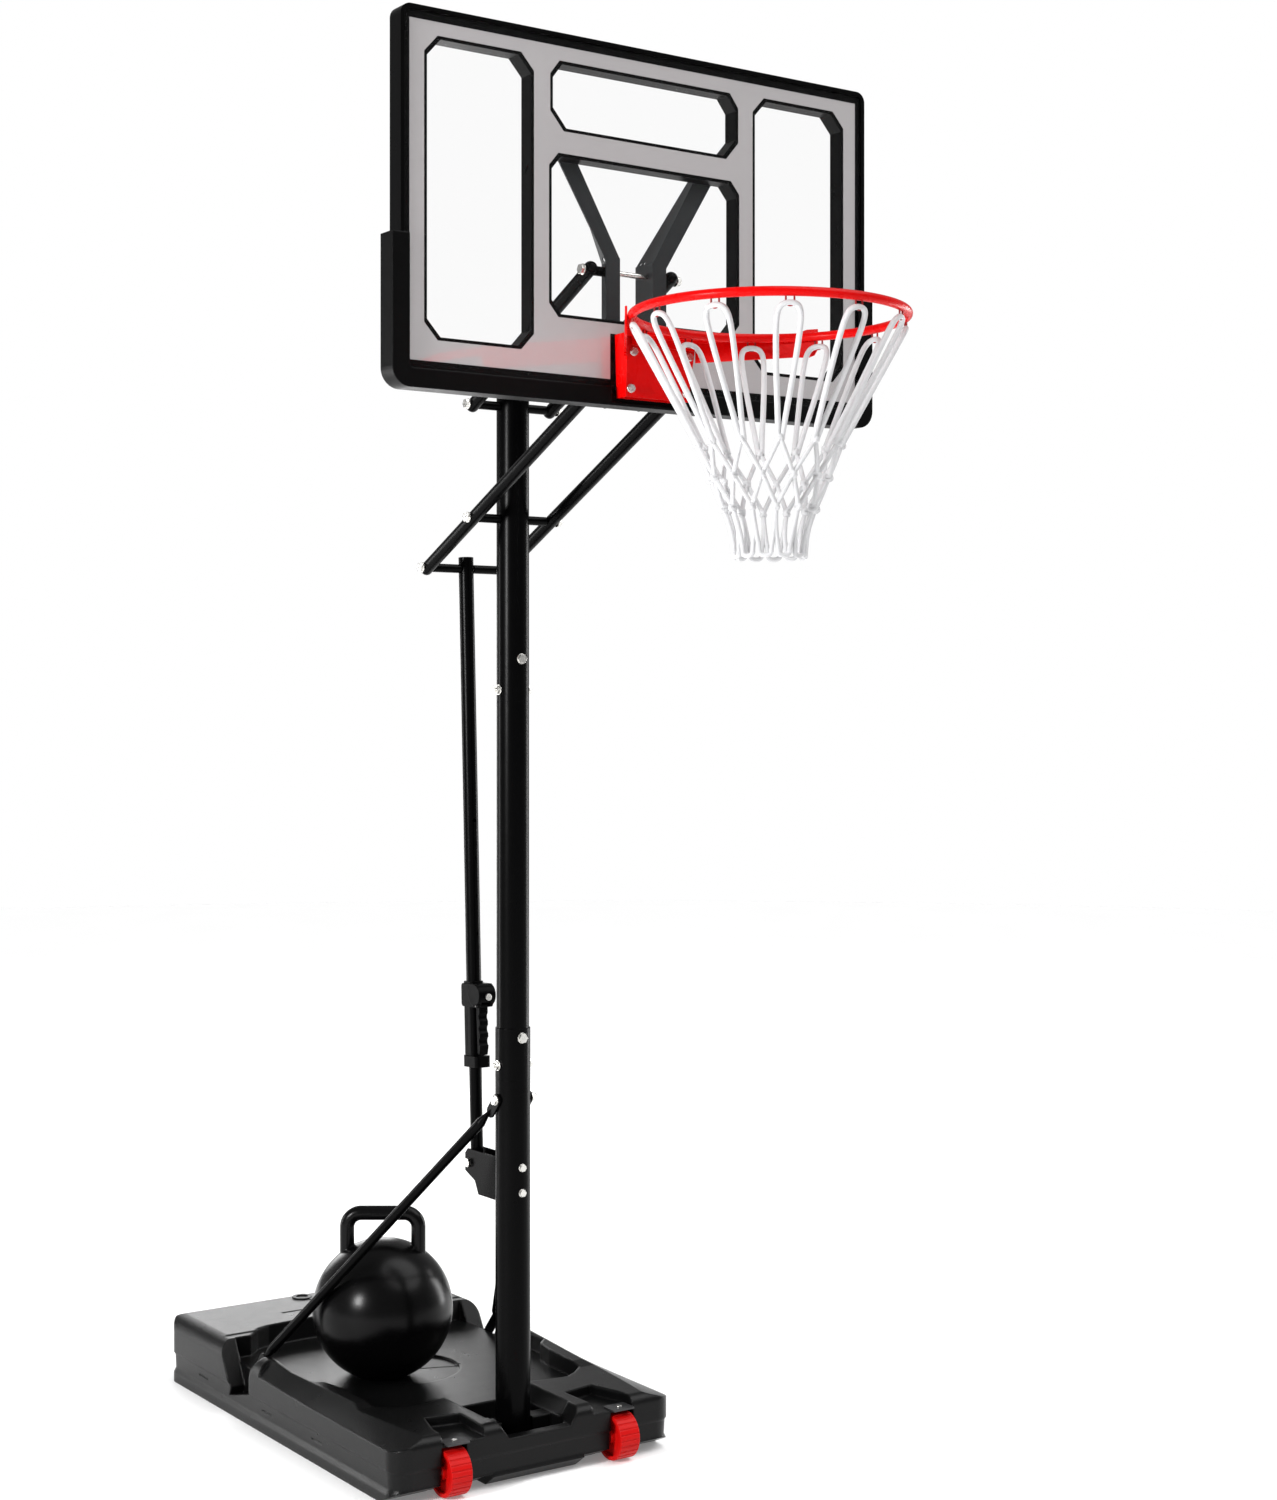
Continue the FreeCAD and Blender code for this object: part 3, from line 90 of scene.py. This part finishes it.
# Softboxes: name, place, target, width, height, power
SOFTBOXES = (
    ("key", (-4.6, -1.1, 2.2), (0.0, 0.1, 1.1), 0.7, 1.0, 230.0),
    ("right_strip", (4.6, 0.2, 1.3), (0.0, 0.1, 1.1), 0.9, 2.8, 90.0),
    ("back_strip", (-3.2, 4.0, 1.1), (0.0, 0.0, 0.9), 0.8, 2.2, 70.0),
    ("back_wide", (1.1, 4.6, 1.3), (-0.1, 0.7, 0.2), 2.6, 1.5, 44.0),
)


# ---------------------------------------------------------------- materials

def socket(node, name):
    """A shader input by name."""
    return node.inputs[name]


def noise(nodes, links, coords, scale, detail=3.0):
    """Noise texture in object space."""
    texture = nodes.new("ShaderNodeTexNoise")
    texture.inputs["Scale"].default_value = scale
    texture.inputs["Detail"].default_value = detail
    links.new(coords.outputs["Object"], texture.inputs["Vector"])
    return texture


def make_material(name, colour, roughness, metallic=0.0, mottle=0.25, mottle_scale=9.0,
                  grain_scale=900.0, grain_depth=0.00008, rough_spread=0.08, edge=0.0,
                  coat=0.0, coat_roughness=0.1, sheen=0.0, alpha=1.0, specular=0.5):
    """Principled material with mottled colour, uneven roughness, a fine surface grain and soft edges."""
    material = bpy.data.materials.new(name)
    material.use_nodes = True
    nodes = material.node_tree.nodes
    links = material.node_tree.links
    shader = nodes["Principled BSDF"]
    coords = nodes.new("ShaderNodeTexCoord")
    broad = noise(nodes, links, coords, mottle_scale, 4.0)
    mix = nodes.new("ShaderNodeMix")
    mix.data_type = "RGBA"
    links.new(broad.outputs["Fac"], mix.inputs["Factor"])
    darker = [channel * (1.0 - mottle) for channel in colour]
    lighter = [min(1.0, channel * (1.0 + mottle)) for channel in colour]
    mix.inputs["A"].default_value = (*darker, 1.0)
    mix.inputs["B"].default_value = (*lighter, 1.0)
    links.new(mix.outputs["Result"], socket(shader, "Base Color"))
    smear = noise(nodes, links, coords, mottle_scale * 4.0, 5.0)
    spread = nodes.new("ShaderNodeMapRange")
    spread.inputs["To Min"].default_value = max(0.02, roughness - rough_spread)
    spread.inputs["To Max"].default_value = min(1.0, roughness + rough_spread)
    links.new(smear.outputs["Fac"], spread.inputs["Value"])
    links.new(spread.outputs["Result"], socket(shader, "Roughness"))
    grain = noise(nodes, links, coords, grain_scale, 2.0)
    bump = nodes.new("ShaderNodeBump")
    bump.inputs["Strength"].default_value = 1.0
    bump.inputs["Distance"].default_value = grain_depth
    links.new(grain.outputs["Fac"], bump.inputs["Height"])
    if edge:
        bevel = nodes.new("ShaderNodeBevel")
        bevel.samples = 6
        bevel.inputs["Radius"].default_value = edge
        links.new(bevel.outputs["Normal"], bump.inputs["Normal"])
    links.new(bump.outputs["Normal"], socket(shader, "Normal"))
    socket(shader, "Metallic").default_value = metallic
    socket(shader, "Coat Weight").default_value = coat
    socket(shader, "Coat Roughness").default_value = coat_roughness
    socket(shader, "Sheen Weight").default_value = sheen
    socket(shader, "Alpha").default_value = alpha
    socket(shader, "Specular IOR Level").default_value = specular
    return material


MATERIALS = {
    "tank_plastic": make_material("tank_plastic", (0.0028, 0.0028, 0.0029), 0.29, mottle=0.2,
                                  rough_spread=0.04, grain_scale=420.0, grain_depth=0.0004,
                                  edge=0.007, specular=0.15),
    "ballast_water": make_material("ballast_water", (0.35, 0.5, 0.6), 0.1, mottle=0.05),
    "cap_plastic": make_material("cap_plastic", (0.006, 0.006, 0.006), 0.42, edge=0.0015,
                                 grain_scale=700.0, grain_depth=0.00015, specular=0.35),
    "wheel_plastic": make_material("wheel_plastic", (0.46, 0.003, 0.0025), 0.38, mottle=0.08,
                                   edge=0.0012, grain_depth=0.00006, specular=0.12),
    "zinc_hardware": make_material("zinc_hardware", (0.72, 0.71, 0.68), 0.26, metallic=1.0,
                                   mottle=0.12, mottle_scale=60.0, edge=0.0008),
    "plate_steel": make_material("plate_steel", (0.02, 0.02, 0.021), 0.45, edge=0.001),
    "black_tube": make_material("black_tube", (0.0008, 0.0008, 0.0009), 0.26, mottle=0.1,
                                rough_spread=0.04, grain_scale=600.0, grain_depth=0.00006,
                                edge=0.001, specular=0.05),
    "grip_plastic": make_material("grip_plastic", (0.0012, 0.0012, 0.0013), 0.32, edge=0.002,
                                  grain_scale=650.0, grain_depth=0.0002, specular=0.03),
    "bracket_steel": make_material("bracket_steel", (0.018, 0.020, 0.022), 0.38, edge=0.001,
                                   grain_depth=0.00008, specular=0.45),
    "board_frame": make_material("board_frame", (0.0008, 0.0008, 0.0009), 0.3, mottle=0.12,
                                 grain_depth=0.00008, edge=0.0018, specular=0.06),
    "print_film": make_material("print_film", (0.455, 0.435, 0.44), 0.6, mottle=0.02,
                                mottle_scale=3.0, grain_scale=1400.0, grain_depth=0.00001,
                                coat=1.0, coat_roughness=0.03, specular=0.2),
    "clear_plastic": make_material("clear_plastic", (0.1, 0.1, 0.1), 0.04, mottle=0.01,
                                   rough_spread=0.01, grain_depth=0.000002, alpha=0.025),
    "pad_rubber": make_material("pad_rubber", (0.0010, 0.0010, 0.0011), 0.4, mottle=0.1,
                                grain_scale=800.0, grain_depth=0.00012, edge=0.004, specular=0.08),
    "red_steel": make_material("red_steel", (0.62, 0.0012, 0.0012), 0.28, mottle=0.05,
                               grain_depth=0.00005, edge=0.0015, specular=0.1),
    "hook_wire": make_material("hook_wire", (0.26, 0.006, 0.006), 0.35, grain_depth=0.00004,
                               specular=0.3),
    "net_cord": make_material("net_cord", (0.56, 0.56, 0.57), 0.8, mottle=0.06, mottle_scale=40.0,
                              grain_scale=500.0, grain_depth=0.0006, sheen=0.2),
    "ball_plastic": make_material("ball_plastic", (0.0010, 0.0010, 0.0011), 0.25, mottle=0.15,
                                  rough_spread=0.04, grain_scale=300.0, grain_depth=0.00005,
                                  edge=0.003, specular=0.13),
    "sand": make_material("sand", (0.5, 0.4, 0.27), 0.9, mottle=0.3, grain_scale=1500.0,
                          grain_depth=0.0008),
}
MATERIALS["print_film"].node_tree.nodes["Principled BSDF"].inputs["Coat IOR"].default_value = 2.2

for entry in frame["record"]["subparts"]:
    node = frame["nodes"][entry["node"]]
    node.data.materials.clear()
    node.data.materials.append(MATERIALS[entry["material_slot"]])
    if entry["material_slot"] in ("print_film", "clear_plastic"):
        for polygon in node.data.polygons:
            polygon.use_smooth = False


# ---------------------------------------------------------------- net

def ring_point(angle, radius, z):
    """Point round the net's axis."""
    return Vector((RING_CENTRE.x + radius * math.cos(angle), RING_CENTRE.y + radius * math.sin(angle), z))


def add_spline(curve, points, closed=False):
    """Smooth cord through control points."""
    spline = curve.splines.new("NURBS")
    spline.points.add(len(points) - 1)
    for target, point in zip(spline.points, points):
        target.co = (*point, 1.0)
    spline.order_u = 3
    spline.use_endpoint_u = not closed
    spline.use_cyclic_u = closed


def cord_curve(name, radius):
    """Empty curve object whose splines are round cords."""
    curve = bpy.data.curves.new(name, "CURVE")
    curve.dimensions = "3D"
    curve.bevel_depth = radius
    curve.bevel_resolution = 4
    curve.resolution_u = 6
    curve.materials.append(MATERIALS["net_cord"])
    piece = bpy.data.objects.new(name, curve)
    bpy.context.scene.collection.objects.link(piece)
    return piece


def hook_angle(index):
    """Angle of a hook or of a knot under it; halves give the rows in between."""
    return 2.0 * math.pi * index / HOOKS


def cone_radius(z):
    """Radius of the taut upper cone at a height."""
    top = (RING_RADIUS, LOOP_TOP_Z)
    low = KNOT_ROWS[0]
    share = (z - low[1]) / (top[1] - low[1])
    return low[0] + (top[0] - low[0]) * share


def loop_points(angle):
    """One long loop over a hook, from its knot up one side and down the other."""
    points = []
    for side, stations in ((-1.0, LOOP_STATIONS), (1.0, LOOP_STATIONS[::-1])):
        for z, share in stations:
            radius = cone_radius(z)
            shift = side * share * LOOP_HALF_WIDTH / radius
            points.append(ring_point(angle + shift, radius, z))
    return points


def strand(start, end):
    """Cord between two knots, bowed a little outwards."""
    middle = (start + end) / 2.0
    outward = Vector((middle.x - RING_CENTRE.x, middle.y - RING_CENTRE.y, 0.0)).normalized()
    bow = outward * STRAND_BOW
    return [start, start.lerp(end, 0.25) + bow, start.lerp(end, 0.75) + bow, end]


def add_knot(mesh, place, turn):
    """Lumpy knot: two crossed wraps of cord."""
    for tilt in (-KNOT_TILT, KNOT_TILT):
        matrix = (Matrix.Translation(place) @ Matrix.Rotation(turn, 4, "Z")
                  @ Matrix.Rotation(math.pi / 2.0 + tilt, 4, "X"))
        rings = []
        for step in range(KNOT_SEGMENTS):
            a = 2.0 * math.pi * step / KNOT_SEGMENTS
            ring = []
            for part in range(KNOT_SIDES):
                b = 2.0 * math.pi * part / KNOT_SIDES
                reach = KNOT_SIZE * (KNOT_REACH + KNOT_THICKNESS * math.cos(b))
                height = KNOT_SIZE * KNOT_THICKNESS * math.sin(b)
                point = Vector((reach * math.cos(a), reach * math.sin(a), height))
                ring.append(mesh.verts.new(matrix @ point))
            rings.append(ring)
        for step in range(KNOT_SEGMENTS):
            here = rings[step]
            there = rings[(step + 1) % KNOT_SEGMENTS]
            for part in range(KNOT_SIDES):
                following = (part + 1) % KNOT_SIDES
                mesh.faces.new((here[part], there[part], there[following], here[following]))


def knot_point(row, index):
    """Place of a knot; every second row is turned by half a step."""
    radius, z = KNOT_ROWS[row]
    return ring_point(hook_angle(index + 0.5 * (row % 2)), radius, z)


def lower_loop(first, second):
    """Scalloped loop between two neighbouring angles of the last row of knots."""
    radius, z = KNOT_ROWS[-1]
    tuck = LOWER_TUCK * (second - first)
    low_a = first + tuck
    low_b = second - tuck
    return [ring_point(first, radius, z), ring_point(first, WAIST_RADIUS, WAIST_Z),
            ring_point(low_a, BOTTOM_RADIUS, BEND_Z), ring_point(low_a, BOTTOM_RADIUS, BOTTOM_Z),
            ring_point(low_b, BOTTOM_RADIUS, BOTTOM_Z), ring_point(low_b, BOTTOM_RADIUS, BEND_Z),
            ring_point(second, WAIST_RADIUS, WAIST_Z), ring_point(second, radius, z)]


def build_net():
    """Hand-knotted net: long loops from the hooks, diamond rows and scalloped lower loops."""
    loops = cord_curve("net_loops", LOOP_CORD)
    for index in range(HOOKS):
        add_spline(loops.data, loop_points(hook_angle(index)))
    meshes = cord_curve("net_diamonds", MESH_CORD)
    last = len(KNOT_ROWS) - 1
    for row in range(last):
        shift = row % 2
        for index in range(HOOKS):
            for side in (shift - 1, shift):
                add_spline(meshes.data, strand(knot_point(row, index), knot_point(row + 1, index + side)))
    for index in range(HOOKS):
        first = hook_angle(index + 0.5 * (last % 2))
        add_spline(meshes.data, lower_loop(first, first + hook_angle(1)))
    mesh = bmesh.new()
    for row in range(len(KNOT_ROWS)):
        for index in range(HOOKS):
            angle = hook_angle(index + 0.5 * (row % 2))
            add_knot(mesh, knot_point(row, index), angle)
    data = bpy.data.meshes.new("net_knots")
    mesh.to_mesh(data)
    mesh.free()
    for polygon in data.polygons:
        polygon.use_smooth = True
    data.materials.append(MATERIALS["net_cord"])
    knots = bpy.data.objects.new("net_knots", data)
    bpy.context.scene.collection.objects.link(knots)
    for piece in (loops, meshes, knots):
        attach(piece, "backboard")
    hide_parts("net")


def build_pane():
    """Clear front sheet for the eye; its rear face stops short of the print that its solid touches."""
    solid = frame["nodes"]["clear_sheet"]
    data = solid.data.copy()
    data.name = "clear_pane"
    rear = max(vertex.co.y for vertex in data.vertices)
    for vertex in data.vertices:
        if vertex.co.y > rear - PANE_GAP:
            vertex.co.y -= PANE_GAP
    pane = bpy.data.objects.new("clear_pane", data)
    bpy.context.scene.collection.objects.link(pane)
    pane.matrix_world = solid.matrix_world.copy()
    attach(pane, "backboard")
    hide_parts("clear_sheet")


build_net()
build_pane()


# ---------------------------------------------------------------- stage, lights and camera

def make_floor():
    """Plain pale floor."""
    mesh = bmesh.new()
    bmesh.ops.create_circle(mesh, cap_ends=True, segments=96, radius=FLOOR_RADIUS)
    data = bpy.data.meshes.new("floor")
    mesh.to_mesh(data)
    mesh.free()
    material = make_material("floor_pale", (0.85, 0.85, 0.85), 0.6, mottle=0.01,
                             mottle_scale=0.6, grain_depth=0.00001, specular=0.2)
    shader = material.node_tree.nodes["Principled BSDF"]
    socket(shader, "Emission Color").default_value = (1.0, 1.0, 1.0, 1.0)
    socket(shader, "Emission Strength").default_value = FLOOR_GLOW
    data.materials.append(material)
    floor = bpy.data.objects.new("floor", data)
    bpy.context.scene.collection.objects.link(floor)


def make_backdrop():
    """Plain white studio shell, seen by the camera and lit on its own."""
    material = bpy.data.materials.new("backdrop_white")
    material.use_nodes = True
    nodes = material.node_tree.nodes
    nodes.remove(nodes["Principled BSDF"])
    glow = nodes.new("ShaderNodeEmission")
    glow.inputs["Color"].default_value = (1.0, 1.0, 1.0, 1.0)
    glow.inputs["Strength"].default_value = 1.0
    material.node_tree.links.new(glow.outputs["Emission"], nodes["Material Output"].inputs["Surface"])
    mesh = bmesh.new()
    bmesh.ops.create_icosphere(mesh, subdivisions=4, radius=FLOOR_RADIUS + 0.5)
    data = bpy.data.meshes.new("backdrop")
    mesh.to_mesh(data)
    mesh.free()
    data.materials.append(material)
    backdrop = bpy.data.objects.new("backdrop", data)
    bpy.context.scene.collection.objects.link(backdrop)
    backdrop.visible_diffuse = False
    backdrop.visible_glossy = False
    backdrop.visible_transmission = False
    backdrop.visible_shadow = False


def add_light(name, place, target, width, height, power):
    """Soft rectangular light aimed at a point."""
    data = bpy.data.lights.new(name, "AREA")
    data.shape = "RECTANGLE"
    data.size = width
    data.size_y = height
    data.energy = power
    light = bpy.data.objects.new(name, data)
    bpy.context.scene.collection.objects.link(light)
    light.location = place
    light.rotation_euler = (Vector(target) - Vector(place)).to_track_quat("-Z", "Y").to_euler()


def add_sun(name, place, spread, power):
    """Even soft light from one side, as from a very large softbox."""
    data = bpy.data.lights.new(name, "SUN")
    data.angle = math.radians(spread)
    data.energy = power
    light = bpy.data.objects.new(name, data)
    bpy.context.scene.collection.objects.link(light)
    light.rotation_euler = (-Vector(place)).to_track_quat("-Z", "Y").to_euler()


def make_camera():
    """Camera at the pictured view."""
    data = bpy.data.cameras.new("camera")
    data.lens = CAMERA_LENS
    data.sensor_width = 36.0
    data.shift_y = CAMERA_SHIFT_Y
    camera = bpy.data.objects.new("camera", data)
    bpy.context.scene.collection.objects.link(camera)
    camera.location = CAMERA_PLACE
    camera.rotation_euler = (math.radians(90.0), 0.0, math.radians(CAMERA_YAW))
    bpy.context.scene.camera = camera


make_floor()
make_backdrop()
add_sun("overhead", *OVERHEAD)
for softbox in SOFTBOXES:
    add_light(*softbox)
world = bpy.data.worlds.new("studio")
world.use_nodes = True
world.node_tree.nodes["Background"].inputs["Color"].default_value = (1.0, 1.0, 1.0, 1.0)
world.node_tree.nodes["Background"].inputs["Strength"].default_value = WORLD_STRENGTH
bpy.context.scene.world = world
bpy.context.scene.view_settings.view_transform = "Standard"
make_camera()
